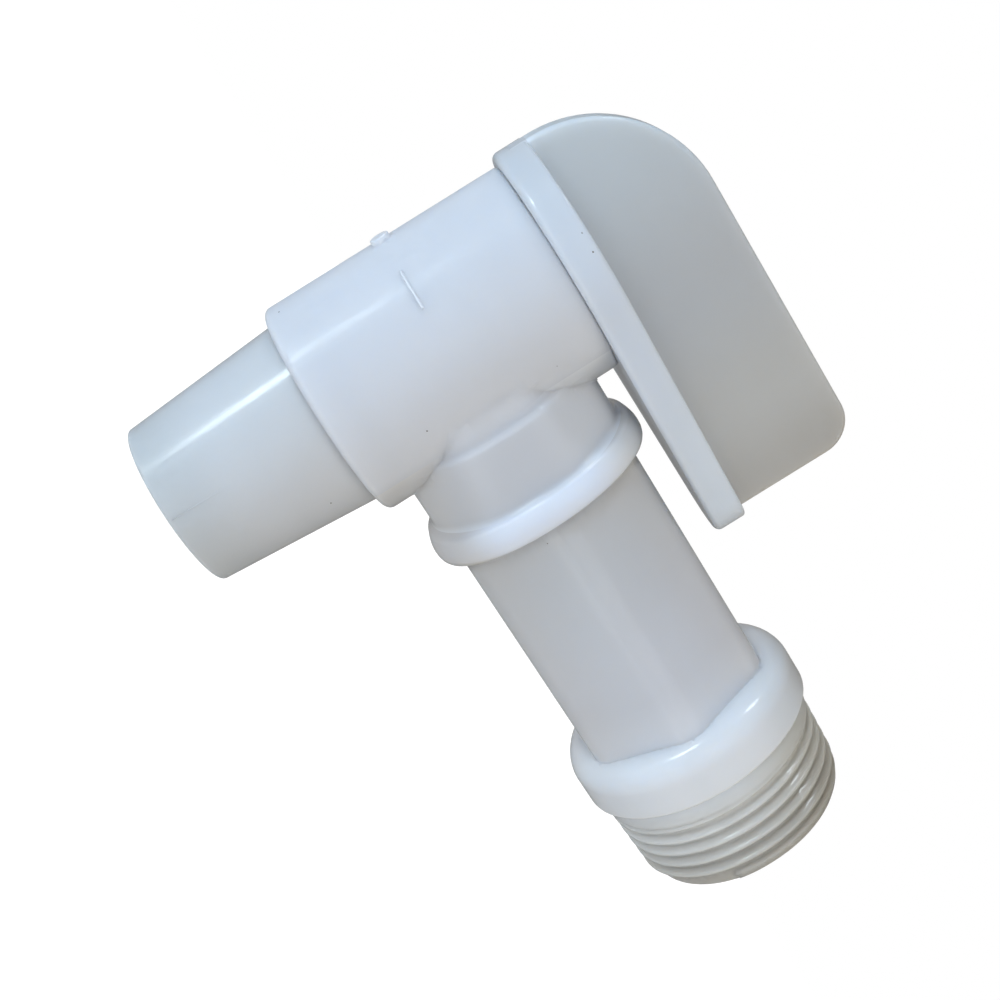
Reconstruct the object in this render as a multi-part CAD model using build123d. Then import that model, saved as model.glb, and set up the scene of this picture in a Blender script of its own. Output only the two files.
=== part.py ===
from build123d import *
import os
from math import acos, cos, radians, sin, tan

# Drum spigot: a moulded body with an upright barrel and a threaded side pipe, and a plug that turns in
# the barrel. The plug carries the lever on top and the tapered spout below.
# Millimetres. +X runs along the pipe towards the thread, +Z up the barrel towards the lever.
# The origin is on the pipe's axis, in the face of the collar that the container's neck seats on.

# Body: barrel
SEAT_REACH = 57.5           # barrel's axis to the collar's seating face
BARREL_RADIUS = 12.6        # at the lower end
BARREL_RIM_RADIUS = 12.4
BARREL_RISE = 14.42         # rim above the pipe's axis
BARREL_DROP = 14.85         # lower end below the pipe's axis
BARREL_LOWER_ROUND = 0.9
BARREL_RIM_ROUND = 0.35
GATE_RADIUS = 1.1           # stub of the moulding gate, opposite the pipe
GATE_PROUD = 0.5

# Body: eight-sided neck and its bead
NECK_HALF_FLAT = 11.75
NECK_RELIEF = 0.65          # shallow band between the barrel and the neck's panels
NECK_PANEL_START = 9.3      # from the barrel's axis
NECK_PANEL_ROUND = 0.4
NECK_ARRIS_ROUND = 2.4      # along the arrises between the eight sides
BEAD_REACH = 19.8           # from the barrel's axis to the middle of the bead
BEAD_CREST_RADIUS = 13.45
BEAD_ROUND = 3.0

# Body: six-sided pipe, collar and threaded end
PIPE_HALF_FLAT = 11.05
PIPE_CORNER_ROUND = 3.6
PIPE_BORE_RADIUS = 9.0
COLLAR_LENGTH = 6.8
COLLAR_RADIUS = 14.4
COLLAR_SHOULDER_ROUND = 3.1
COLLAR_LIP_ROUND = 0.5
SHANK_RADIUS = 13.45        # plain length between the seat and the first groove
SHANK_LENGTH = 2.0
THREAD_PITCH = 1.814
THREAD_TURN = 115.0         # degrees about the axis that set where the turns cross each side
THREAD_DEPTH = 0.85         # groove below the crests
THREAD_TAPER = 2.2          # degrees a side, narrower towards the free end
THREAD_LENGTH = 10.6        # seat to where the last turn starts to fade
THREAD_CREST_HALF = 0.13    # half the width of a crest's flat top
THREAD_CREST_EASE = 0.14    # width and height of the easing on either side of it
THREAD_FOOT = 0.1           # how far the ridge reaches below the bottom of the grooves
THREAD_FLANK = 30.0         # degrees from square to the axis
GROOVE_RUN = 2.4            # length over which the grooves come to full depth
END_LENGTH = 12.85          # seat to the free end
END_RADIUS = 12.2
END_ROUND = 0.8
MOUTH_CHAMFER = 0.5

# Plug: journal, channel and spout
PLUG_LOWER_RADIUS = 10.87
PLUG_TAPER = 0.5            # degrees a side, wider towards the lever
PLUG_CLEARANCE = 0.06       # running gap all round in the barrel
SPOUT_DROP = 33.95          # spout's mouth below the pipe's axis
SPOUT_MOUTH_RADIUS = 9.5
SPOUT_MOUTH_ROUND = 0.4
CHANNEL_RADIUS = 8.0
CHANNEL_RISE = 10.0         # closed end of the channel above the pipe's axis
CHANNEL_END_ROUND = 1.5
PORT_RADIUS = 7.5           # side port that faces the pipe when open
SNAP_DROP = 10.8            # snap rib below the pipe's axis
SNAP_ROUND = 0.9
SNAP_PROUD = 0.35
SNAP_CLEARANCE = 0.2

# Plug: lever plate and its upright fin
PLATE_THICKNESS = 3.85
PLATE_HEAD_RADIUS = 13.65
PLATE_TAIL_RADIUS = 5.0
PLATE_REACH = 36.0          # barrel's axis to the tip of the tail
PLATE_UPPER_ROUND = 0.4
PLATE_LOWER_ROUND = 0.8
FIN_THICKNESS = 3.0
FIN_HEAD_HEIGHT = 33.1      # top of the fin above the pipe's axis, over the barrel
FIN_TAIL_HEIGHT = 33.8      # and over the pipe
FIN_HEAD_SETBACK = 0.0      # fin's end behind the rim of the plate's head
FIN_TAIL_SETBACK = 1.3      # fin's straight end behind the tail's tip
FIN_HEAD_UPRIGHT = 0.23     # straight end between the plate and the large round corner
FIN_TAIL_ROUND = 4.0
FIN_EDGE_ROUND = 0.5

BARREL_X = -SEAT_REACH
PLATE_UNDERSIDE = BARREL_RISE
PLATE_TOP = PLATE_UNDERSIDE + PLATE_THICKNESS
CUT_MARGIN = 1.0            # how far a cutting tool runs past the face it opens


def plug_radius(height: float) -> float:
    """Outside radius of the tapered journal at a height above the pipe's axis."""
    return PLUG_LOWER_RADIUS + (height + BARREL_DROP) * tan(radians(PLUG_TAPER))


def turned(low_radius: float, low: float, high_radius: float, high: float) -> Part:
    """Round solid about the barrel's axis between two heights, straight or tapered."""
    half = Polyline((0, low), (low_radius, low), (high_radius, high), (0, high), close=True)
    return Pos(BARREL_X, 0, 0) * revolve(Plane.XZ * make_face(half), Axis.Z)


def along_pipe(sketch: Sketch, start: float, end: float) -> Part:
    """A section drawn in Y and Z, run along the pipe between two places measured from the seat."""
    return Plane.YZ.offset(start) * extrude(sketch, end - start)


def pipe_rod(radius: float, start: float, end: float) -> Part:
    """Round rod on the pipe's axis."""
    return along_pipe(Circle(radius), start, end)


def barrel() -> Part:
    """Upright cylinder, rounded at its lower end, with the gate stub opposite the pipe."""
    shape = turned(BARREL_RADIUS, -BARREL_DROP, BARREL_RIM_RADIUS, BARREL_RISE)
    lower, upper = shape.edges().filter_by(GeomType.CIRCLE).sort_by(Axis.Z)
    shape = fillet(lower, BARREL_LOWER_ROUND)
    upper = shape.edges().filter_by(GeomType.CIRCLE).sort_by(Axis.Z)[-1]
    shape = fillet(upper, BARREL_RIM_ROUND)
    stub_reach = BARREL_RADIUS + GATE_PROUD
    stub = pipe_rod(GATE_RADIUS, BARREL_X - stub_reach, BARREL_X - stub_reach / 2)
    stub = fillet(stub.edges().sort_by(Axis.X)[0], GATE_PROUD / 3)
    return shape + stub


def neck() -> Part:
    """Eight-sided neck: a relieved band next to the barrel, then the panels up to the bead."""
    panel_start = BARREL_X + NECK_PANEL_START
    end = BARREL_X + BEAD_REACH
    band = RegularPolygon(NECK_HALF_FLAT - NECK_RELIEF, 8, major_radius=False, rotation=22.5)
    panels = RegularPolygon(NECK_HALF_FLAT, 8, major_radius=False, rotation=22.5)
    band = fillet(band.vertices(), NECK_ARRIS_ROUND)
    panels = fillet(panels.vertices(), NECK_ARRIS_ROUND)
    block = along_pipe(panels, panel_start, end)
    block = fillet(block.edges().group_by(Axis.X)[0], NECK_PANEL_ROUND)
    return along_pipe(band, BARREL_X, end) + block


def bead() -> Part:
    """Half-round bead round the pipe where the neck ends."""
    ring = Torus(BEAD_CREST_RADIUS - BEAD_ROUND, BEAD_ROUND)
    return Pos(BARREL_X + BEAD_REACH, 0, 0) * Rot(0, 90, 0) * ring


def pipe() -> Part:
    """Six-sided pipe with a corner towards each side and a flat on top."""
    section = RegularPolygon(PIPE_HALF_FLAT, 6, major_radius=False)
    section = fillet(section.vertices(), PIPE_CORNER_ROUND)
    return along_pipe(section, BARREL_X + BEAD_REACH, -COLLAR_LENGTH / 2)


def collar() -> Part:
    """Round collar: a soft shoulder on the pipe's side and a flat seat on the thread's side."""
    shape = pipe_rod(COLLAR_RADIUS, -COLLAR_LENGTH, 0)
    shoulder, lip = shape.edges().filter_by(GeomType.CIRCLE).sort_by(Axis.X)
    shape = fillet(shoulder, COLLAR_SHOULDER_ROUND)
    lip = shape.edges().filter_by(GeomType.CIRCLE).sort_by(Axis.X)[-1]
    return fillet(lip, COLLAR_LIP_ROUND)


def crest_radius(place: float) -> float:
    """Radius over the thread's crests at a distance from the seat."""
    return SHANK_RADIUS - place * tan(radians(THREAD_TAPER))


def threaded_core() -> Part:
    """Turned core: plain shank, bottom of the grooves and a plain lead to the free end."""
    groove_start = SHANK_LENGTH + GROOVE_RUN
    half = Polyline(
        (-COLLAR_LENGTH / 2, 0),
        (-COLLAR_LENGTH / 2, SHANK_RADIUS),
        (SHANK_LENGTH, SHANK_RADIUS),
        (groove_start, crest_radius(groove_start) - THREAD_DEPTH),
        (END_LENGTH, END_RADIUS),
        (END_LENGTH, 0),
        close=True,
    )
    core = revolve(make_face(half), Axis.X)
    rim = core.edges().filter_by(GeomType.CIRCLE).sort_by(Axis.X)[-1]
    return fillet(rim, END_ROUND)


def thread_ridge() -> Part:
    """Right-hand helical ridge with a rounded crest, faded out by a cone at its free end."""
    first = SHANK_LENGTH - THREAD_PITCH / 2
    run = END_LENGTH - THREAD_PITCH / 2 - first
    foot_radius = crest_radius(first) - THREAD_DEPTH
    path = Wire([Edge.make_helix(THREAD_PITCH, run, foot_radius, (first, 0, 0), (1, 0, 0), -THREAD_TAPER)])
    begin = path @ 0
    outwards = Vector(0, begin.Y, begin.Z).normalized()
    eased = THREAD_DEPTH - THREAD_CREST_EASE
    eased_half = THREAD_CREST_HALF + THREAD_CREST_EASE
    foot_half = eased_half + (eased + THREAD_FOOT) * tan(radians(THREAD_FLANK))
    one_side = [(-THREAD_FOOT, foot_half), (eased, eased_half), (THREAD_DEPTH, THREAD_CREST_HALF)]
    other_side = [(height, -half) for height, half in reversed(one_side)]
    outline = make_face(Polyline(*one_side, *other_side, close=True))
    section = Plane(origin=begin, x_dir=outwards, z_dir=path % 0) * outline
    ridge = Part([Solid.sweep(section.faces()[0], path, is_frenet=True)])
    fade_radius = END_RADIUS - THREAD_FOOT
    fade_slope = (crest_radius(THREAD_LENGTH) - fade_radius) / (END_LENGTH - THREAD_LENGTH)
    fade_start = END_LENGTH - (COLLAR_RADIUS - fade_radius) / fade_slope
    room = Polyline(
        (0, 0),
        (0, COLLAR_RADIUS),
        (fade_start, COLLAR_RADIUS),
        (END_LENGTH, fade_radius),
        (END_LENGTH, 0),
        close=True,
    )
    return ridge & revolve(make_face(room), Axis.X)


def threaded_end() -> Part:
    """Core and ridge as one, turned to where the real thread's turns stand."""
    return Rot(THREAD_TURN, 0, 0) * (threaded_core() + thread_ridge())


def snap_ring(clearance: float) -> Part:
    """Half-round rib about the barrel's axis, grown by a clearance when it cuts the groove."""
    middle = plug_radius(-SNAP_DROP) + SNAP_PROUD - SNAP_ROUND
    return Pos(BARREL_X, 0, -SNAP_DROP) * Torus(middle, SNAP_ROUND + clearance)


def body() -> Part:
    """The whole moulded body with its tapered seat for the plug and its bore."""
    shape = barrel() + neck() + bead() + pipe() + collar() + threaded_end()
    low = -BARREL_DROP - CUT_MARGIN
    high = BARREL_RISE + CUT_MARGIN
    seat = turned(plug_radius(low) + PLUG_CLEARANCE, low, plug_radius(high) + PLUG_CLEARANCE, high)
    shape -= pipe_rod(PIPE_BORE_RADIUS, BARREL_X, END_LENGTH + CUT_MARGIN)
    shape -= seat + snap_ring(SNAP_CLEARANCE)
    mouth = shape.edges().filter_by(GeomType.CIRCLE).group_by(Axis.X)[-1].sort_by(SortBy.RADIUS)[0]
    return chamfer(mouth, MOUTH_CHAMFER)


def lever_plate() -> Part:
    """Flat lever: a round head over the barrel and a tapering tail with a round tip."""
    tail_centre = PLATE_REACH - PLATE_TAIL_RADIUS
    lean = acos((PLATE_HEAD_RADIUS - PLATE_TAIL_RADIUS) / tail_centre)
    head_y = PLATE_HEAD_RADIUS * sin(lean)
    head_x = PLATE_HEAD_RADIUS * cos(lean)
    tail_y = PLATE_TAIL_RADIUS * sin(lean)
    tail_x = tail_centre + PLATE_TAIL_RADIUS * cos(lean)
    flanks = make_face(Polyline((head_x, head_y), (tail_x, tail_y), (tail_x, -tail_y), (head_x, -head_y), close=True))
    outline = Circle(PLATE_HEAD_RADIUS) + flanks + Pos(tail_centre, 0) * Circle(PLATE_TAIL_RADIUS)
    plate = Pos(BARREL_X, 0, PLATE_UNDERSIDE) * extrude(outline, PLATE_THICKNESS)
    plate = fillet(plate.faces().sort_by(Axis.Z)[-1].edges(), PLATE_UPPER_ROUND)
    return fillet(plate.faces().sort_by(Axis.Z)[0].edges(), PLATE_LOWER_ROUND)


def lever_fin() -> Part:
    """Upright fin that the fingers turn, standing along the middle of the plate."""
    head_end = BARREL_X - PLATE_HEAD_RADIUS + FIN_HEAD_SETBACK
    tail_end = BARREL_X + PLATE_REACH - FIN_TAIL_SETBACK
    foot = PLATE_TOP - PLATE_THICKNESS / 2
    corners = [(head_end, foot), (head_end, FIN_HEAD_HEIGHT), (tail_end, FIN_TAIL_HEIGHT), (tail_end, foot)]
    outline = make_face(Polyline(*corners, close=True))
    upper = outline.vertices().sort_by(Axis.Y)[-2:].sort_by(Axis.X)
    outline = fillet(upper[0], FIN_HEAD_HEIGHT - PLATE_TOP - FIN_HEAD_UPRIGHT)
    outline = fillet(outline.vertices().sort_by(Axis.X)[-2:].sort_by(Axis.Y)[-1], FIN_TAIL_ROUND)
    fin = Plane.XZ.offset(-FIN_THICKNESS / 2) * extrude(outline, FIN_THICKNESS)
    sides = fin.faces().filter_by(Axis.Y)
    return fillet(sides.edges(), FIN_EDGE_ROUND)


def plug_handle() -> Part:
    """The plug with its lever above, its port at the side and its spout below."""
    journal = turned(PLUG_LOWER_RADIUS, -BARREL_DROP, plug_radius(PLATE_UNDERSIDE), PLATE_UNDERSIDE)
    spout = turned(SPOUT_MOUTH_RADIUS, -SPOUT_DROP, PLUG_LOWER_RADIUS, -BARREL_DROP)
    spout = fillet(spout.edges().sort_by(Axis.Z)[0], SPOUT_MOUTH_ROUND)
    channel = turned(CHANNEL_RADIUS, -SPOUT_DROP - CUT_MARGIN, CHANNEL_RADIUS, CHANNEL_RISE)
    channel = fillet(channel.edges().filter_by(GeomType.CIRCLE).sort_by(Axis.Z)[-1], CHANNEL_END_ROUND)
    port = pipe_rod(PORT_RADIUS, BARREL_X, BARREL_X + PLATE_HEAD_RADIUS)
    shape = journal + spout + snap_ring(0) + lever_plate() + lever_fin()
    return shape - channel - port


def main() -> None:
    """Write one STEP file for each node."""
    os.makedirs("parts", exist_ok=True)
    export_step(body(), "parts/body.step")
    export_step(plug_handle(), "parts/plug_handle.step")


if __name__ == "__main__":
    main()
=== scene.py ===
"""Drum spigot in natural milky plastic: finishes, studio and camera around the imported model."""

import logging
from dataclasses import dataclass, field, replace
from enum import Enum, IntEnum
from math import atan2, cos, pi, radians, sin
from typing import Dict, Iterable, List, Optional, Sequence, Tuple, Union

import bmesh
import bpy
from mathutils import Matrix, Vector

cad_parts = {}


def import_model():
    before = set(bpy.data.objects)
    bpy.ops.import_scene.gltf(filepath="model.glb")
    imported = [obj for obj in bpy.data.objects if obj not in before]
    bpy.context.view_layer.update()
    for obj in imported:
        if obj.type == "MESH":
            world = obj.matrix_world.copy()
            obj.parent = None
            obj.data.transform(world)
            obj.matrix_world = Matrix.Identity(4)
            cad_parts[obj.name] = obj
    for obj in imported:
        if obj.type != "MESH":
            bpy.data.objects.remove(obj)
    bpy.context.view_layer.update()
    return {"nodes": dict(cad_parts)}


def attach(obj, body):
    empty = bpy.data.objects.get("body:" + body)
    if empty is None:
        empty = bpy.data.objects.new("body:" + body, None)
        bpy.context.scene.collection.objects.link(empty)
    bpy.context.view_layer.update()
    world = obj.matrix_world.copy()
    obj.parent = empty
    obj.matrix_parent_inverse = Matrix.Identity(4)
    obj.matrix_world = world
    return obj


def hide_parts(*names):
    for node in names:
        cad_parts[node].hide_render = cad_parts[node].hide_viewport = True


log = logging.getLogger("drum_spigot")

Colour = Tuple[float, float, float]
Point = Tuple[float, float, float]
Source = Union[bpy.types.NodeSocket, Colour, float]
MM = 0.001
WHITE = (1.0, 1.0, 1.0)
MERGE_GAP = 0.0005 * MM     # points nearer than this become one
SIDE_PAIRS = 4              # opposite sides of the eight-sided neck
SORT_AXIS = Vector((1.0, 0.61803, 0.27183))     # askew, so that no two points lie level along it
SORT_STEP = 65536           # more than a welded piece has points


def place_number(numbers: Iterable[int]) -> int:
    """Make one number that puts an edge or a face in order.

    Args:
        numbers: Its points' numbers.

    Returns:
        A number made of the three lowest.
    """
    total = 0
    for number in sorted(numbers)[:3]:
        total = total * SORT_STEP + number
    return total


class Part(Enum):
    """The two moulded parts, by the name of their CAD node."""

    BODY = "body"
    PLUG = "plug_handle"


class MixSocket(IntEnum):
    """Places of a colour mix's sockets, whose names its other kinds share."""

    AMOUNT = 0
    RESULT = 2
    FIRST = 6
    SECOND = 7


class Wiring:
    """A material's node tree, with the steps that the finishes share."""

    def __init__(self, material: bpy.types.Material) -> None:
        """Open the material's tree.

        Args:
            material: The material.
        """
        material.use_nodes = True
        self.nodes = material.node_tree.nodes
        self.links = material.node_tree.links
        self.shader = self.nodes["Principled BSDF"]
        self.place = self.nodes.new("ShaderNodeTexCoord").outputs["Object"]

    def along(self, axis: str) -> bpy.types.NodeSocket:
        """Read the place along one axis.

        Args:
            axis: X, Y or Z.

        Returns:
            The place's value socket.
        """
        split = self.nodes.new("ShaderNodeSeparateXYZ")
        self.links.new(self.place, split.inputs["Vector"])
        return split.outputs[axis]

    def noise(self, size: float, detail: float) -> bpy.types.NodeSocket:
        """Add a soft noise pattern.

        Args:
            size: Width of a patch in metres.
            detail: Octaves of finer noise.

        Returns:
            The pattern's value socket.
        """
        noise = self.nodes.new("ShaderNodeTexNoise")
        noise.inputs["Scale"].default_value = 1.0 / size
        noise.inputs["Detail"].default_value = detail
        self.links.new(self.place, noise.inputs["Vector"])
        return noise.outputs["Fac"]

    def bump(self, size: float, height: float, detail: float,
             normal: Optional[bpy.types.NodeSocket] = None) -> bpy.types.NodeSocket:
        """Lay fine unevenness over a normal.

        Args:
            size: Width of one bump in metres.
            height: Its height in metres.
            detail: Octaves of finer unevenness.
            normal: The normal it is laid on; the surface's own where it is left out.

        Returns:
            The uneven normal's socket.
        """
        bump = self.nodes.new("ShaderNodeBump")
        bump.inputs["Distance"].default_value = height
        self.links.new(self.noise(size, detail), bump.inputs["Height"])
        if normal:
            self.links.new(normal, bump.inputs["Normal"])
        return bump.outputs["Normal"]

    def mix(self, mode: str, amount: Source, first: Source, second: Source) -> bpy.types.NodeSocket:
        """Mix two colours, each a socket or plain numbers.

        Args:
            mode: Blend mode.
            amount: Socket or number for the mix's factor.
            first: First colour.
            second: Second colour.

        Returns:
            The mixed colour's socket.
        """
        mix = self.nodes.new("ShaderNodeMix")
        mix.data_type = "RGBA"
        mix.blend_type = mode
        inputs = ((amount, MixSocket.AMOUNT), (first, MixSocket.FIRST), (second, MixSocket.SECOND))
        for value, number in inputs:
            socket = mix.inputs[number]
            if isinstance(value, bpy.types.NodeSocket):
                self.links.new(value, socket)
            else:
                socket.default_value = (*value, 1.0) if isinstance(value, tuple) else value
        return mix.outputs[MixSocket.RESULT]


@dataclass(frozen=True)
class ToneRun:
    """A value that changes along one axis: the plastic's painted light and shade, which partly stands for its
    walls growing thicker or thinner, and the weight of its coat.
    """

    axis: str
    stops: Tuple[Tuple[float, Colour], ...]

    def build(self, wiring: Wiring) -> bpy.types.NodeSocket:
        """Add the run of tones.

        Args:
            wiring: The material's node tree.

        Returns:
            The tone's colour socket.
        """
        low, high = self.stops[0][0], self.stops[-1][0]
        reach = wiring.nodes.new("ShaderNodeMapRange")
        reach.inputs["From Min"].default_value = low * MM
        reach.inputs["From Max"].default_value = high * MM
        wiring.links.new(wiring.along(self.axis), reach.inputs["Value"])
        ramp = wiring.nodes.new("ShaderNodeValToRGB")
        ramp.color_ramp.interpolation = "EASE"
        marks = ramp.color_ramp.elements
        for number, (where, tone) in enumerate(self.stops):
            share = (where - low) / (high - low)
            mark = marks[number] if number < 2 else marks.new(share)
            mark.position = share
            mark.color = (*tone, 1.0)
        wiring.links.new(reach.outputs["Result"], ramp.inputs["Fac"])
        return ramp.outputs["Color"]


@dataclass(frozen=True)
class PaintedShadingBand:
    """A run of painted light and shade that holds only between two places along another axis."""

    run: ToneRun
    low: float
    high: float
    across: str = "Z"

    def build(self, wiring: Wiring) -> bpy.types.NodeSocket:
        """Add the run's nodes.

        Args:
            wiring: The material's node tree.

        Returns:
            The tone's socket, white outside the band.
        """
        band = wiring.nodes.new("ShaderNodeMath")
        band.operation = "COMPARE"
        band.inputs[1].default_value = (self.low + self.high) / 2 * MM
        band.inputs[2].default_value = (self.high - self.low) / 2 * MM
        wiring.links.new(wiring.along(self.across), band.inputs[0])
        return wiring.mix("MIX", band.outputs["Value"], WHITE, self.run.build(wiring))


@dataclass(frozen=True)
class MilkyPlastic:
    """Natural polyethylene: scatters light inside, clear enough that walls behind show through softly."""

    name: str
    # Runs of painted light and shade, multiplied into the base colour; they partly stand for walls growing
    # thicker or thinner.
    painted_shading_runs: Tuple[Union[ToneRun, PaintedShadingBand], ...]
    tint: Colour = (0.72, 0.72, 0.72)
    cloud: Colour = (0.68, 0.68, 0.68)
    cloud_size: float = 0.012
    depth: float = 0.003
    spread: Colour = (1.0, 0.93, 0.85)
    clearness: float = 0.10
    scatter: float = 1.0
    gloss_rough: float = 0.29
    matt_rough: float = 0.42
    skin: ToneRun = ToneRun("X", ((-72.0, (0.75, 0.75, 0.75)), (13.0, (0.75, 0.75, 0.75))))
    skin_rough: float = 0.13
    ripple_size: float = 0.0016
    ripple_height: float = 0.00002
    scuff_size: float = 0.0004
    scuff_height: float = 0.000014
    edge_ease: float = 0.00025
    shine: float = 0.5
    refraction: float = 1.5
    cloud_detail: float = 3.0
    rub_share: float = 0.25
    rub_detail: float = 5.0
    bump_detail: float = 2.0

    def build(self) -> bpy.types.Material:
        """Make the node material.

        Returns:
            The finished material.
        """
        material = bpy.data.materials.new(self.name)
        wiring = Wiring(material)
        inputs = wiring.shader.inputs
        inputs["Subsurface Weight"].default_value = self.scatter
        inputs["Subsurface Scale"].default_value = self.depth
        inputs["Subsurface Radius"].default_value = self.spread
        inputs["Transmission Weight"].default_value = self.clearness
        inputs["IOR"].default_value = self.refraction
        inputs["Specular IOR Level"].default_value = self.shine
        inputs["Coat Roughness"].default_value = self.skin_rough
        clouds = wiring.noise(self.cloud_size, self.cloud_detail)
        tone = wiring.mix("MIX", clouds, self.tint, self.cloud)
        # Painted light and shade: each run multiplies the cloudy tone.
        for run in self.painted_shading_runs:
            tone = wiring.mix("MULTIPLY", 1.0, tone, run.build(wiring))
        wiring.links.new(tone, inputs["Base Color"])
        wiring.links.new(self.skin.build(wiring), inputs["Coat Weight"])
        rub = wiring.nodes.new("ShaderNodeMapRange")
        rub.inputs["To Min"].default_value = self.gloss_rough
        rub.inputs["To Max"].default_value = self.matt_rough
        patches = wiring.noise(self.cloud_size * self.rub_share, self.rub_detail)
        wiring.links.new(patches, rub.inputs["Value"])
        wiring.links.new(rub.outputs["Result"], inputs["Roughness"])
        ease = wiring.nodes.new("ShaderNodeBevel")
        ease.inputs["Radius"].default_value = self.edge_ease
        ripple = wiring.bump(self.ripple_size, self.ripple_height, self.bump_detail, ease.outputs["Normal"])
        wiring.links.new(ripple, inputs["Normal"])
        scuffs = wiring.bump(self.scuff_size, self.scuff_height, self.bump_detail)
        wiring.links.new(scuffs, inputs["Coat Normal"])
        return material


BODY_PLASTIC = MilkyPlastic(
    "body_milky",
    painted_shading_runs=(
        # Painted light and shade along the body, partly for its wall's thickness: a bluish painted sheen on
        # the bead and collar, a painted bright band at the collar's lip, and painted shade warming and
        # darkening the thread to its end.
        ToneRun("X", (
            (-70.0, (1.00, 0.99, 1.03)),
            (-50.5, (1.02, 1.02, 1.05)),
            (-48.0, (0.90, 0.90, 0.93)),
            (-41.2, (0.90, 0.90, 0.93)),
            (-40.2, (1.09, 1.12, 1.19)),
            (-37.3, (1.09, 1.12, 1.19)),
            (-37.0, (0.86, 0.86, 0.86)),
            (-14.0, (0.93, 0.93, 0.96)),
            (-5.0, (1.10, 1.11, 1.14)),
            (-0.6, (1.13, 1.14, 1.16)),
            (-0.45, (1.25, 1.26, 1.28)),
            (0.0, (1.25, 1.26, 1.28)),
            (0.1, (1.12, 1.17, 1.22)),
            (3.5, (0.95, 0.94, 0.90)),
            (13.0, (0.64, 0.61, 0.55)),
        )),
        # Painted shade on the collar's far side, darker towards +Z.
        PaintedShadingBand(ToneRun("Z", (
            (-14.5, (1.00, 1.00, 1.00)),
            (5.0, (1.00, 1.00, 1.00)),
            (12.0, (0.93, 0.93, 0.92)),
            (14.5, (0.80, 0.78, 0.74)),
        )), -7.0, 0.05, "X"),
        # Painted shade on the thread's far side, darker and warmer towards +Z.
        PaintedShadingBand(ToneRun("Z", (
            (-14.5, (1.00, 1.00, 1.00)),
            (0.0, (1.00, 1.00, 1.00)),
            (12.0, (0.78, 0.74, 0.66)),
            (14.5, (0.74, 0.70, 0.62)),
        )), 0.05, 14.0, "X"),
        # Painted shade at the bead's two ends along Z, warmer and darker, with a faint bluish painted light
        # between.
        PaintedShadingBand(ToneRun("Z", (
            (-14.5, (0.86, 0.80, 0.74)),
            (-10.5, (0.89, 0.84, 0.78)),
            (-5.0, (0.99, 1.00, 1.03)),
            (5.0, (0.99, 1.01, 1.05)),
            (11.0, (0.99, 0.96, 0.90)),
            (14.5, (0.90, 0.87, 0.82)),
        )), -40.4, -36.0, "X"),
        # Painted light on the neck, lighter towards +Z and a little towards -Z.
        PaintedShadingBand(ToneRun("Z", (
            (-12.0, (1.07, 1.04, 0.98)),
            (-4.0, (1.00, 1.00, 1.00)),
            (2.0, (1.00, 1.00, 1.00)),
            (9.0, (1.13, 1.13, 1.11)),
        )), -49.5, -40.4, "X"),
        # Painted shade on the pipe, a little darker towards both ends along Z.
        PaintedShadingBand(ToneRun("Z", (
            (-12.0, (0.96, 0.94, 0.92)),
            (-3.0, (1.00, 1.01, 1.03)),
            (3.0, (1.00, 1.01, 1.03)),
            (11.0, (0.95, 0.93, 0.91)),
        )), -36.0, -7.0, "X"),
    ),
    skin=ToneRun("X", ((-72.0, (0.16, 0.16, 0.16)), (-51.0, (0.2, 0.2, 0.2)), (-49.0, (1.0, 1.0, 1.0)),
                       (13.0, (1.0, 1.0, 1.0)))),
    scuff_height=0.000003,
    shine=0.36,
)

PLUG_PLASTIC = MilkyPlastic(
    "plug_milky",
    painted_shading_runs=(
        # Painted light and shade along the plug, partly for its wall's thickness: painted shade at the
        # spout's mouth, a bluish painted light at the plate, and the fin darker.
        ToneRun("Z", (
            (-34.0, (0.81, 0.83, 0.84)),
            (-24.0, (0.93, 0.94, 0.96)),
            (-14.0, (0.95, 0.95, 0.96)),
            (17.5, (1.01, 1.02, 1.05)),
            (19.5, (0.82, 0.83, 0.84)),
            (34.0, (0.78, 0.78, 0.78)),
        )),
        # Painted light on the plate: darker at its -X end, lighter and bluer towards the fin.
        PaintedShadingBand(ToneRun("X", (
            (-72.0, (0.88, 0.89, 0.90)),
            (-50.0, (0.98, 1.03, 1.09)),
            (-30.0, (1.03, 1.08, 1.12)),
        )), 14.0, 18.35),
        # Painted light and shade on the fin: a bluish painted light at its -X end, turning to warm painted
        # shade towards +X.
        PaintedShadingBand(ToneRun("X", (
            (-68.0, (1.08, 1.13, 1.16)),
            (-48.0, (0.98, 0.97, 0.96)),
            (-33.0, (1.00, 0.96, 0.90)),
            (-24.0, (0.90, 0.84, 0.76)),
        )), 18.35, 40.0),
    ),
)


BODY_SPECKS = (
    ((-51.57, -10.91, 8.63), (0.48, -0.88, 0.0)),
    ((-53.35, -11.81, -6.18), (0.33, -0.94, 0.0)),
    ((-69.89, -2.20, -12.92), (-0.98, -0.18, 0.0)),
    ((-35.63, -11.59, -2.02), (0.0, -0.87, -0.5)),
    ((-20.0, 9.55, -5.53), (0.0, 0.87, -0.5)),
    ((-60.5, 12.1, 3.0), (-0.24, 0.97, 0.0)),
)

PLUG_SPECKS = (
    ((-62.56, -12.68, 17.61), (-0.40, -0.92, 0.0)),
    ((-60.48, -13.32, 17.55), (-0.19, -0.98, 0.0)),
    ((-51.17, -8.45, -18.96), (0.56, -0.82, -0.07)),
    ((-41.0, 1.5, 26.0), (0.0, 1.0, 0.0)),
)


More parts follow.
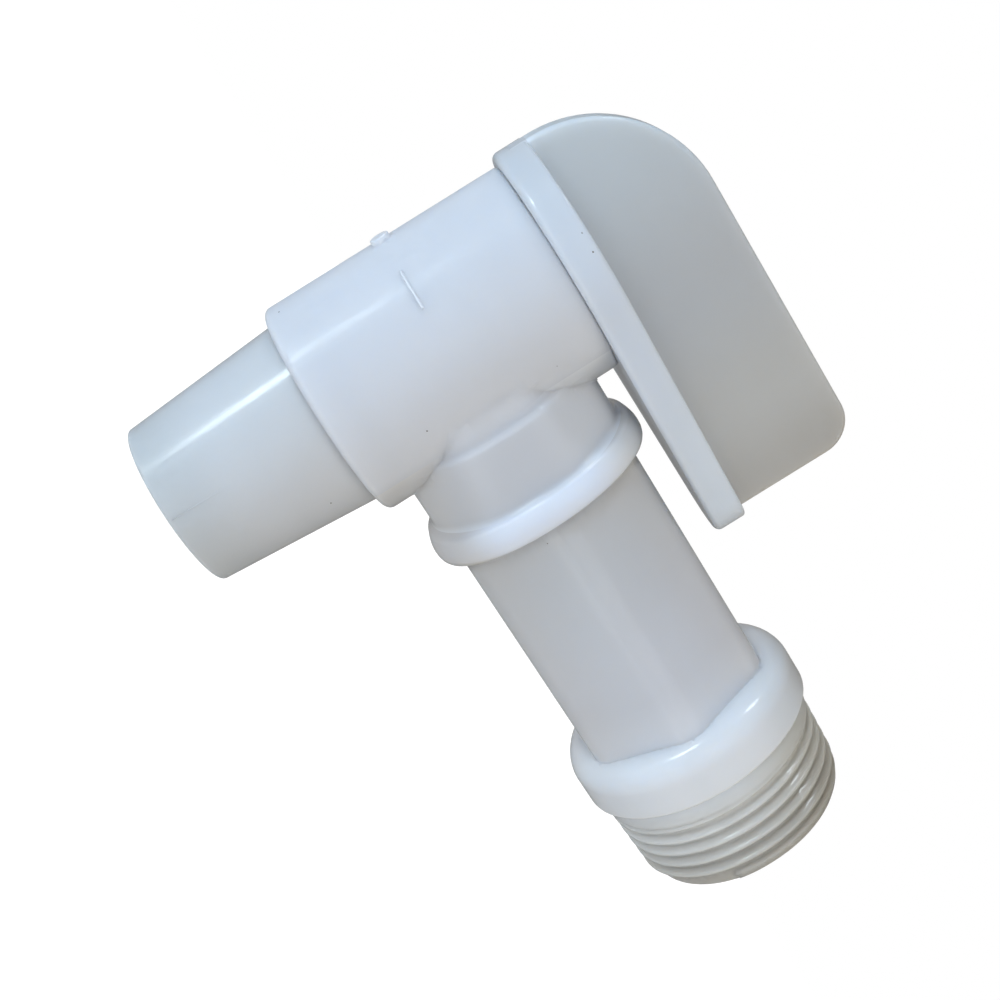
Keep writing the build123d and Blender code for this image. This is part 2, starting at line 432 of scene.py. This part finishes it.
@dataclass(frozen=True)
class Grit:
    """The dark grain of a speck moulded into the skin."""

    name: str
    dark: Colour = (0.10, 0.09, 0.08)
    pale: Colour = (0.30, 0.27, 0.23)
    rough: float = 0.7
    grain_size: float = MM / 9
    grain_detail: float = 2.0

    def build(self) -> bpy.types.Material:
        """Make the node material.

        Returns:
            The finished material.
        """
        material = bpy.data.materials.new(self.name)
        wiring = Wiring(material)
        wiring.shader.inputs["Roughness"].default_value = self.rough
        ramp = wiring.nodes.new("ShaderNodeValToRGB")
        for mark, shade in zip(ramp.color_ramp.elements, (self.dark, self.pale)):
            mark.color = (*shade, 1.0)
        wiring.links.new(wiring.noise(self.grain_size, self.grain_detail), ramp.inputs["Fac"])
        wiring.links.new(ramp.outputs["Color"], wiring.shader.inputs["Base Color"])
        return material


@dataclass
class Moulding:
    """One moulded part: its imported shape, its plastic and the fine marks of its mould."""

    part: Part
    body: str
    slot: str
    finish: MilkyPlastic
    specks: Tuple[Tuple[Point, Point], ...] = ()
    speck_radius: float = 0.11 * MM
    speck_width: float = 0.8
    speck_flatness: float = 0.35
    small_speck: float = 0.75
    axis: Point = (-57.5 * MM, 0.0, 0.0)

    def build(self, nodes: Dict[str, bpy.types.Object]) -> None:
        """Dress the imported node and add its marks.

        Args:
            nodes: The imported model's nodes by name.
        """
        self.dress(nodes[self.part.value])
        self.marks()
        self.grains()

    def dress(self, piece: bpy.types.Object) -> None:
        """Give a piece the part's plastic alone.

        Args:
            piece: The piece.
        """
        plastic = self.finish.build()
        piece.data.materials.clear()
        piece.data.materials.append(plastic)
        log.info("%s: %d faces in %s", piece.name, len(piece.data.polygons), plastic.name)

    def marks(self) -> None:
        """Add the fine raised lines of the mould; the plain moulding has none."""

    def line_finish(self) -> bpy.types.Material:
        """Make the plastic of a fine raised line, too thin to scatter light inside.

        Returns:
            The finished material.
        """
        name = self.finish.name + "_line"
        return replace(self.finish, name=name, scatter=0.0, clearness=0.0, edge_ease=0.0).build()

    def grains(self) -> bpy.types.Object:
        """Set the specks flush in the skin, each a flattened ball.

        Returns:
            The specks' object.
        """
        shape = bmesh.new()
        for number, (place, outward) in enumerate(self.specks):
            radius = self.speck_radius * (1.0 if number % 3 else self.small_speck)
            lean = Vector(outward).to_track_quat("Z", "Y").to_matrix().to_4x4()
            squash = Matrix.Diagonal((radius, radius * self.speck_width, radius * self.speck_flatness, 1.0))
            at = Matrix.Translation(Vector(place) * MM)
            bmesh.ops.create_icosphere(shape, subdivisions=2, radius=1.0, matrix=at @ lean @ squash)
        return self.finished(shape, self.part.value + "_specks", Grit(self.part.value + "_grit").build())

    def finished(self, shape: bmesh.types.BMesh, name: str, material: bpy.types.Material) -> bpy.types.Object:
        """Turn a worked shape into a piece that rides on this part's body.

        Args:
            shape: The worked mesh, in metres in the part's frame.
            name: The piece's name.
            material: Its finish.

        Returns:
            The piece.
        """
        piece = self.solid(name, shape)
        piece.data.shade_smooth()
        piece.data.materials.append(material)
        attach(piece, self.body)
        log.info("%s: %d faces", name, len(piece.data.polygons))
        return piece

    @staticmethod
    def solid(name: str, shape: bmesh.types.BMesh) -> bpy.types.Object:
        """Put a worked shape into the scene.

        Args:
            name: The object's name.
            shape: The worked mesh, in metres.

        Returns:
            The object.
        """
        bmesh.ops.recalc_face_normals(shape, faces=shape.faces)
        mesh = bpy.data.meshes.new(name)
        shape.to_mesh(mesh)
        shape.free()
        piece = bpy.data.objects.new(name, mesh)
        bpy.context.scene.collection.objects.link(piece)
        return piece


@dataclass(frozen=True)
class NeckRing:
    """One ring of the neck's skin, in mm.

    It has a place along the pipe, a half width and the crispness of its eight sides: 2 is round. Its top and
    bottom bow away from the barrel, and it leans so that its bottom lies the farther.
    """

    place: float
    half_width: float
    crispness: float
    bow: float = 0.0
    lean: float = 0.0

    def point(self, turn: float) -> Point:
        """Give the ring's point in one direction.

        Args:
            turn: The direction, as an angle about the pipe's axis.

        Returns:
            The point in metres.
        """
        flat = sum(abs(cos(side * pi / SIDE_PAIRS)) ** self.crispness for side in range(SIDE_PAIRS))
        here = sum(abs(cos(turn - side * pi / SIDE_PAIRS)) ** self.crispness for side in range(SIDE_PAIRS))
        reach = self.half_width * MM * (flat / here) ** (1 / self.crispness)
        place = self.place + self.bow * sin(turn) ** 2 - self.lean * sin(turn)
        return place * MM, reach * cos(turn), reach * sin(turn)


@dataclass
class BarrelBody(Moulding):
    """The moulded body, its neck swelling softly into the bead, with the barrel's witness line."""

    rings: Tuple[NeckRing, ...] = (
        NeckRing(-54.5, 11.15, 16.0),
        NeckRing(-49.5, 11.15, 16.0),
        NeckRing(-49.1, 11.18, 16.0),
        NeckRing(-48.85, 11.28, 16.0),
        NeckRing(-48.65, 11.45, 16.0),
        NeckRing(-48.45, 11.62, 16.0),
        NeckRing(-48.25, 11.71, 16.0),
        NeckRing(-48.0, 11.74, 16.0),
        NeckRing(-46.0, 11.75, 16.0),
        NeckRing(-43.0, 11.76, 14.0),
        NeckRing(-41.6, 11.80, 12.0),
        NeckRing(-41.15, 11.88, 10.0, 0.10, 0.04),
        NeckRing(-40.9, 12.00, 8.0, 0.24, 0.10),
        NeckRing(-40.72, 12.18, 6.0, 0.39, 0.17),
        NeckRing(-40.6, 12.42, 5.0, 0.52, 0.22),
        NeckRing(-40.5, 12.68, 4.0, 0.63, 0.27),
        NeckRing(-40.36, 12.92, 3.0, 0.70, 0.30),
        NeckRing(-40.15, 13.02, 2.0, 0.70, 0.30),
        NeckRing(-39.8, 13.16, 2.0, 0.70, 0.30),
        NeckRing(-39.4, 13.29, 2.0, 0.70, 0.30),
        NeckRing(-39.0, 13.38, 2.0, 0.70, 0.30),
        NeckRing(-38.6, 13.42, 2.0, 0.70, 0.30),
        NeckRing(-38.0, 13.40, 2.0, 0.70, 0.30),
        NeckRing(-37.6, 13.30, 2.0, 0.70, 0.30),
        NeckRing(-37.35, 13.15, 2.0, 0.70, 0.30),
        NeckRing(-37.2, 12.95, 2.0, 0.70, 0.30),
        NeckRing(-37.15, 12.70, 2.0, 0.70, 0.30),
        NeckRing(-37.15, 9.02, 2.0),
        NeckRing(-54.5, 9.02, 2.0),
    )
    ring_points: int = 128
    wall_middle: float = 12.0 * MM
    wall_outside: float = 12.62 * MM
    post_sides: int = 256
    post_length: float = 80 * MM
    block_size: Point = (100 * MM, 50 * MM, 50 * MM)
    block_middle: Point = (-6 * MM, 0.0, 0.0)
    pipe_cut: float = -34.55 * MM
    pipe_start: float = -37.7 * MM
    smooth_angle: float = 40.0
    line_height: float = 0.15 * MM
    line_radius: float = 12.49 * MM
    line_proud: float = 0.045 * MM
    line_width: float = 0.30 * MM
    line_start: float = -146.0
    line_end: float = -122.0
    line_sides: int = 8
    line_steps: int = 24

    def build(self, nodes: Dict[str, bpy.types.Object]) -> None:
        """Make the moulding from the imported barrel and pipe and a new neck, and add its marks.

        Args:
            nodes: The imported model's nodes by name.
        """
        packed = nodes[self.part.value]
        barrel = self.solid("body_moulding", self.copied(packed))
        around = self.solid("around", self.block())
        self.combine(around, self.solid("post", self.post(self.wall_outside)), "DIFFERENCE")
        self.combine(barrel, around, "DIFFERENCE")
        neck = self.solid("neck", self.neck())
        self.combine(neck, self.solid("post", self.post(self.wall_middle)), "DIFFERENCE")
        self.combine(barrel, neck, "UNION")
        self.combine(barrel, self.solid("pipe", self.pipe(packed)), "UNION")
        self.ordered(barrel)
        self.smooth(barrel)
        self.dress(barrel)
        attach(barrel, self.body)
        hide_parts(self.part.value)
        self.marks()
        self.grains()

    @staticmethod
    def copied(packed: bpy.types.Object) -> bmesh.types.BMesh:
        """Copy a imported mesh, its points merged.

        Args:
            packed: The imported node.

        Returns:
            The copy.
        """
        shape = bmesh.new()
        shape.from_mesh(packed.data)
        shape.transform(packed.matrix_world)
        bmesh.ops.remove_doubles(shape, verts=shape.verts, dist=MERGE_GAP)
        return shape

    @staticmethod
    def applied(piece: bpy.types.Object) -> None:
        """Apply a piece's modifiers to its mesh.

        Args:
            piece: The piece.
        """
        bpy.context.view_layer.update()
        ready = piece.evaluated_get(bpy.context.evaluated_depsgraph_get())
        mesh = bpy.data.meshes.new_from_object(ready)
        piece.modifiers.clear()
        old, piece.data = piece.data, mesh
        bpy.data.meshes.remove(old)

    def combine(self, piece: bpy.types.Object, tool: bpy.types.Object, way: str) -> None:
        """Cut a tool from a piece or weld it on, and drop the tool.

        Args:
            piece: The piece that stays.
            tool: The tool that goes.
            way: DIFFERENCE or UNION.
        """
        joint = piece.modifiers.new(way, "BOOLEAN")
        joint.operation = way
        joint.solver = "MANIFOLD"
        joint.object = tool
        self.applied(piece)
        bpy.data.objects.remove(tool)
        log.info("%s after %s: %d faces", piece.name, way, len(piece.data.polygons))

    @staticmethod
    def ordered(piece: bpy.types.Object) -> None:
        """Put a welded piece's points, edges and faces in an order that is the same in each run.

        Args:
            piece: The piece.
        """
        shape = bmesh.new()
        shape.from_mesh(piece.data)
        shape.verts.sort(key=lambda point: point.co.dot(SORT_AXIS))
        shape.verts.index_update()
        for items in (shape.edges, shape.faces):
            items.sort(key=lambda item: place_number(point.index for point in item.verts))
            items.index_update()
        shape.to_mesh(piece.data)
        shape.free()

    def block(self) -> bmesh.types.BMesh:
        """Make the block that takes in the body from just beyond the barrel's axis on.

        Returns:
            The worked mesh.
        """
        shape = bmesh.new()
        size = Matrix.Diagonal((*self.block_size, 1.0))
        bmesh.ops.create_cube(shape, size=1.0, matrix=Matrix.Translation(self.block_middle) @ size)
        return shape

    def post(self, radius: float) -> bmesh.types.BMesh:
        """Make a round post about the barrel's axis.

        Args:
            radius: Its radius.

        Returns:
            The worked mesh.
        """
        shape = bmesh.new()
        bmesh.ops.create_cone(shape, cap_ends=True, segments=self.post_sides, radius1=radius, radius2=radius,
                              depth=self.post_length, matrix=Matrix.Translation(self.axis))
        return shape

    def neck(self) -> bmesh.types.BMesh:
        """Make the neck with its bead as one skin through all rings, hollow along the bore.

        Returns:
            The worked mesh.
        """
        shape = bmesh.new()
        loops = []
        for ring in self.rings:
            points = bmesh.ops.create_circle(shape, segments=self.ring_points, radius=1.0)["verts"]
            for number, point in enumerate(points):
                point.co = ring.point(2 * pi * number / self.ring_points)
            loops.append(list(dict.fromkeys(edge for point in points for edge in point.link_edges)))
        for first, second in zip(loops, loops[1:] + loops[:1]):
            bmesh.ops.bridge_loops(shape, edges=first + second)
        return shape

    def pipe(self, packed: bpy.types.Object) -> bmesh.types.BMesh:
        """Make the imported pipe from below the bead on, drawn out a little into the new bead.

        Args:
            packed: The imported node.

        Returns:
            The worked mesh.
        """
        shape = self.copied(packed)
        everything = shape.verts[:] + shape.edges[:] + shape.faces[:]
        bmesh.ops.bisect_plane(shape, geom=everything, dist=0.0, plane_co=(self.pipe_cut, 0.0, 0.0),
                               plane_no=(1.0, 0.0, 0.0), clear_inner=True)
        rim = [edge for edge in shape.edges if edge.is_boundary]
        drawn = bmesh.ops.extrude_edge_only(shape, edges=rim)["geom"]
        points = [item for item in drawn if isinstance(item, bmesh.types.BMVert)]
        bmesh.ops.translate(shape, vec=(self.pipe_start - self.pipe_cut, 0.0, 0.0), verts=points)
        ends = [item for item in drawn if isinstance(item, bmesh.types.BMEdge) and item.is_boundary]
        bmesh.ops.bridge_loops(shape, edges=ends)
        return shape

    def smooth(self, piece: bpy.types.Object) -> None:
        """Shade a piece smooth over its rounds, with flat faces kept flat.

        Args:
            piece: The piece.
        """
        piece.data.shade_smooth()
        piece.data.set_sharp_from_angle(angle=radians(self.smooth_angle))
        piece.modifiers.new("even_normals", "WEIGHTED_NORMAL").keep_sharp = True
        self.applied(piece)

    def marks(self) -> None:
        """Add the witness line, a flat ridge run round part of the barrel."""
        shape = bmesh.new()
        section = bmesh.ops.create_circle(shape, cap_ends=True, segments=self.line_sides, radius=1.0)["verts"]
        tall = Matrix.Diagonal((self.line_proud, self.line_width / 2, 1.0, 1.0))
        stand = Matrix.Rotation(radians(90.0), 4, "X")
        out = Matrix.Translation((self.line_radius, 0.0, self.line_height))
        turn = Matrix.Rotation(radians(self.line_start), 4, "Z")
        home = Matrix.Translation(self.axis)
        bmesh.ops.transform(shape, matrix=home @ turn @ out @ stand @ tall, verts=section)
        bmesh.ops.spin(shape, geom=shape.faces[:] + shape.edges[:] + section, cent=self.axis,
                       axis=(0.0, 0.0, 1.0), angle=radians(self.line_end - self.line_start),
                       steps=self.line_steps)
        self.finished(shape, "barrel_witness_line", self.line_finish())


@dataclass
class TurningPlug(Moulding):
    """The plug with its lever and spout, with the mould's parting line up the spout."""

    seam_angle: float = -99.2
    seam_low: float = -33.4 * MM
    seam_high: float = -25.5 * MM
    seam_low_radius: float = 9.53 * MM
    seam_high_radius: float = 10.10 * MM
    seam_proud: float = 0.03 * MM
    seam_width: float = 0.16 * MM
    seam_sides: int = 8
    seam_fade: float = 0.25

    def marks(self) -> None:
        """Add the parting line, a fine ridge that fades out up the spout."""
        shape = bmesh.new()
        bmesh.ops.create_cone(shape, cap_ends=True, segments=self.seam_sides, radius1=1.0,
                              radius2=self.seam_fade, depth=1.0)
        length = self.seam_high - self.seam_low
        size = Matrix.Diagonal((self.seam_proud * 2, self.seam_width / 2, length, 1.0))
        lean = Matrix.Rotation(atan2(self.seam_high_radius - self.seam_low_radius, length), 4, "Y")
        middle = ((self.seam_low_radius + self.seam_high_radius) / 2 - self.seam_proud, 0.0,
                  (self.seam_low + self.seam_high) / 2)
        turn = Matrix.Rotation(radians(self.seam_angle), 4, "Z")
        place = Matrix.Translation(self.axis) @ turn @ Matrix.Translation(middle) @ lean @ size
        bmesh.ops.transform(shape, matrix=place, verts=shape.verts)
        self.finished(shape, "spout_parting_line", self.line_finish())


@dataclass
class SoftLight:
    """An area light aimed at the part, placed by its direction and distance."""

    name: str
    towards: Point
    distance: float
    width: float
    height: float
    radiance: float
    colour: Colour
    mirrored: bool = False
    aim: Point = (-40 * MM, 0.0, 0.0)

    def build(self) -> bpy.types.Object:
        """Make the light.

        Returns:
            The light's object.
        """
        lamp = bpy.data.lights.new(self.name, "AREA")
        lamp.shape = "RECTANGLE"
        lamp.size = self.width
        lamp.size_y = self.height
        lamp.energy = self.radiance * pi * self.width * self.height
        lamp.color = self.colour
        holder = bpy.data.objects.new(self.name, lamp)
        holder.visible_glossy = self.mirrored
        bpy.context.scene.collection.objects.link(holder)
        out = Vector(self.towards).normalized()
        holder.location = Vector(self.aim) + out * self.distance
        holder.rotation_euler = (-out).to_track_quat("-Z", "Y").to_euler()
        return holder


@dataclass
class Studio:
    """White room, pale floor, soft lights and the camera."""

    eye: Point = (-109.961 * MM, -189.822 * MM, 4.656 * MM)
    view_right: Point = (0.50757, -0.15174, 0.84814)
    view_up: Point = (-0.78598, 0.32176, 0.52793)
    focal_share: float = 1.82558
    sensor: float = 36.0
    floor_drop: float = 160 * MM
    floor_side: float = 6.0
    floor_tone: Colour = (0.80, 0.80, 0.80)
    floor_rough: float = 0.9
    floor_glow: float = 1.15
    near_clip: float = 0.01
    surround: Colour = (1.0, 0.99, 0.97)
    surround_strength: float = 0.28
    lights: List[SoftLight] = field(default_factory=lambda: [
        SoftLight("window_low", (-0.951, -0.202, -0.233), 0.51, 0.06, 0.22, 16.0, (0.80, 0.96, 1.0), True),
        SoftLight("window_high", (-0.67, -0.20, 0.72), 0.50, 0.06, 0.12, 14.0, (0.82, 0.91, 1.0), True),
        SoftLight("sky", (-0.85, -0.30, 0.15), 0.34, 0.28, 0.28, 1.45, (0.06, 0.50, 1.0)),
        SoftLight("front", (-0.45, -0.88, 0.10), 0.40, 0.30, 0.30, 2.9, (0.92, 0.95, 1.0)),
        SoftLight("right", (0.75, -0.55, 0.30), 0.40, 0.30, 0.30, 1.6, (1.0, 0.96, 0.85)),
        SoftLight("back", (-0.60, 0.75, 0.20), 0.40, 0.30, 0.30, 2.0, (0.96, 0.97, 1.0)),
    ])

    def camera(self) -> bpy.types.Object:
        """Make the camera at the photograph's place and angle.

        Returns:
            The camera's object.
        """
        lens = bpy.data.cameras.new("camera")
        lens.sensor_fit = "HORIZONTAL"
        lens.sensor_width = self.sensor
        lens.lens = self.focal_share * self.sensor
        lens.clip_start = self.near_clip
        camera = bpy.data.objects.new("camera", lens)
        bpy.context.scene.collection.objects.link(camera)
        right, up = Vector(self.view_right).normalized(), Vector(self.view_up).normalized()
        back = right.cross(up)
        turn = Matrix((right, up, back)).transposed().to_4x4()
        camera.matrix_world = Matrix.Translation(self.eye) @ turn
        bpy.context.scene.camera = camera
        return camera

    def floor(self) -> bpy.types.Object:
        """Make the pale floor below the spout.

        Returns:
            The floor's object.
        """
        bpy.ops.mesh.primitive_plane_add(size=self.floor_side, location=(0.0, 0.0, -self.floor_drop))
        floor = bpy.context.object
        floor.name = "floor"
        material = bpy.data.materials.new("floor_white")
        material.use_nodes = True
        nodes, links = material.node_tree.nodes, material.node_tree.links
        shader = nodes["Principled BSDF"]
        shader.inputs["Base Color"].default_value = (*self.floor_tone, 1.0)
        shader.inputs["Roughness"].default_value = self.floor_rough
        glow = nodes.new("ShaderNodeEmission")
        glow.inputs["Strength"].default_value = self.floor_glow
        self._white_to_camera(nodes, links, shader.outputs["BSDF"], glow.outputs["Emission"],
                              nodes["Material Output"])
        floor.data.materials.append(material)
        return floor

    def room(self) -> None:
        """Set the room's even white light."""
        world = bpy.data.worlds.new("white_room")
        bpy.context.scene.world = world
        world.use_nodes = True
        nodes, links = world.node_tree.nodes, world.node_tree.links
        light = nodes["Background"]
        light.inputs["Color"].default_value = (*self.surround, 1.0)
        light.inputs["Strength"].default_value = self.surround_strength
        white = nodes.new("ShaderNodeBackground")
        white.inputs["Color"].default_value = (*WHITE, 1.0)
        self._white_to_camera(nodes, links, light.outputs["Background"], white.outputs["Background"],
                              nodes["World Output"])

    @staticmethod
    def _white_to_camera(nodes: bpy.types.Nodes, links: bpy.types.NodeLinks, lit: bpy.types.NodeSocket,
                         white: bpy.types.NodeSocket, output: bpy.types.Node) -> None:
        """Let the camera see a surround as white, whatever light it sends to the part.

        Args:
            nodes: The tree's nodes.
            links: The tree's links.
            lit: The shader that lights the part.
            white: The shader that the camera sees.
            output: The tree's output.
        """
        path = nodes.new("ShaderNodeLightPath")
        choice = nodes.new("ShaderNodeMixShader")
        links.new(path.outputs["Is Camera Ray"], choice.inputs["Fac"])
        links.new(lit, choice.inputs[1])
        links.new(white, choice.inputs[2])
        links.new(choice.outputs["Shader"], output.inputs["Surface"])

    def build(self) -> None:
        """Set up the whole studio."""
        self.camera()
        self.floor()
        self.room()
        for light in self.lights:
            light.build()
        bpy.context.scene.view_settings.view_transform = "Standard"
        log.info("studio: %d lights", len(self.lights))


def main() -> None:
    """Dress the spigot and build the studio."""
    logging.basicConfig(level=logging.INFO, format="%(message)s")
    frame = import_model()
    BarrelBody(Part.BODY, "body", "body_plastic", BODY_PLASTIC, BODY_SPECKS).build(frame["nodes"])
    TurningPlug(Part.PLUG, "plug", "plug_plastic", PLUG_PLASTIC, PLUG_SPECKS).build(frame["nodes"])
    Studio().build()


if __name__ == "__main__":
    main()
